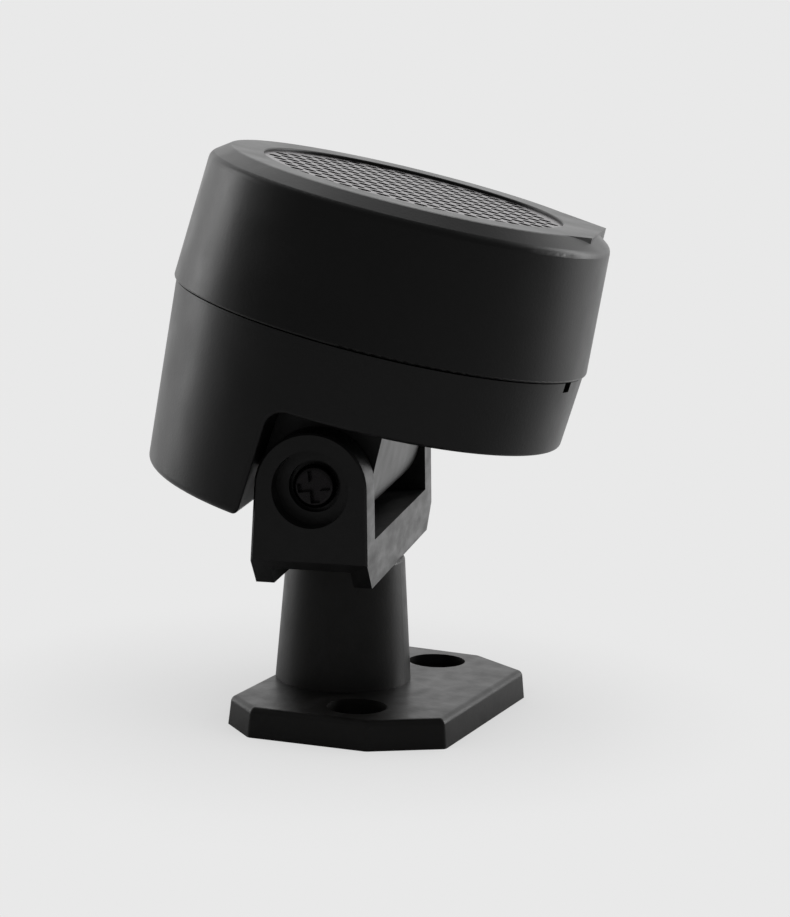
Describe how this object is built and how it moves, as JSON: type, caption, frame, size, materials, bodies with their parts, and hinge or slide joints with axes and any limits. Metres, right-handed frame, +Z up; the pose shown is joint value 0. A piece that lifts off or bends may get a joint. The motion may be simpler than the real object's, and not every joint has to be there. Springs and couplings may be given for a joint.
{
  "type": "car tweeter",
  "caption": "Round surface-mount car tweeter pod with a perforated grille, on a U-yoke that tilts and a screw-down pedestal that it swivels on.",
  "frame": {"origin": "midway between the two screw holes, on the base plate's mounting face", "axes": "+Z up out of the mounting face; Y along the plate's long side and the line of its two holes; +X towards the side that holds the holes"},
  "size_m": [0.0559, 0.052, 0.0702],
  "materials": {
    "moulded_black": "fine moulded texture",
    "cap_black": "satin moulded",
    "screw_steel": "black oxide",
    "zinc_steel": "zinc plated",
    "brass": "turned",
    "nylon": "natural nylon",
    "grille_steel": "satin black paint",
    "cloth": "black scrim",
    "frame_plastic": "moulded",
    "ferrite": "sintered, matte",
    "felt": "wool felt",
    "silk": "coated silk",
    "former_aluminium": "satin foil",
    "copper": "enamelled copper wire",
    "fibre_board": "phenolic board",
    "tin_brass": "tinned",
    "film_capacitor": "glossy wrap",
    "wire_insulation": "soft PVC",
    "grommet_rubber": "moulded rubber"
  },
  "bodies": {
    "base": {"pedestal_base": "moulded_black"},
    "yoke": {"yoke": "moulded_black", "swivel_screw": "screw_steel", "swivel_washer": "zinc_steel", "swivel_insert": "brass"},
    "pod": {"tilt_screws": "screw_steel", "tilt_washers": "screw_steel", "friction_washers": "nylon", "tilt_inserts": "brass", "front_cap": "cap_black", "rear_housing": "moulded_black", "grille": "grille_steel", "grille_cloth": "cloth", "driver_frame": "frame_plastic", "retainer_ring": "frame_plastic", "top_plate": "zinc_steel", "magnet": "ferrite", "pole_plate": "zinc_steel", "pole_felt": "felt", "terminal_board": "fibre_board", "terminal_tabs": "tin_brass", "capacitor": "film_capacitor", "capacitor_leads": "tin_brass", "input_wires": "wire_insulation", "cable_grommet": "grommet_rubber"},
    "diaphragm": {"dome": "silk", "surround": "silk", "coil_former": "former_aluminium", "coil_winding": "copper"}
  },
  "joints": [
    {"name": "yoke_swivel", "type": "hinge", "parent": "base", "child": "yoke", "pos_m": [-0.0075, 0, 0.0192], "axis": [0, 0, 1], "continuous": true},
    {"name": "pod_tilt", "type": "hinge", "parent": "yoke", "child": "pod", "pos_m": [-0.0075, 0, 0.0312], "axis": [-0.2079, 0.9781, 0], "range_deg": [-18, 70]},
    {"name": "diaphragm_travel", "type": "slide", "parent": "pod", "child": "diaphragm", "axis": [0.21, 0.0446, 0.9767], "range_m": [-0.00025, 0.00025], "stiffness_N_per_m": 500}
  ]
}
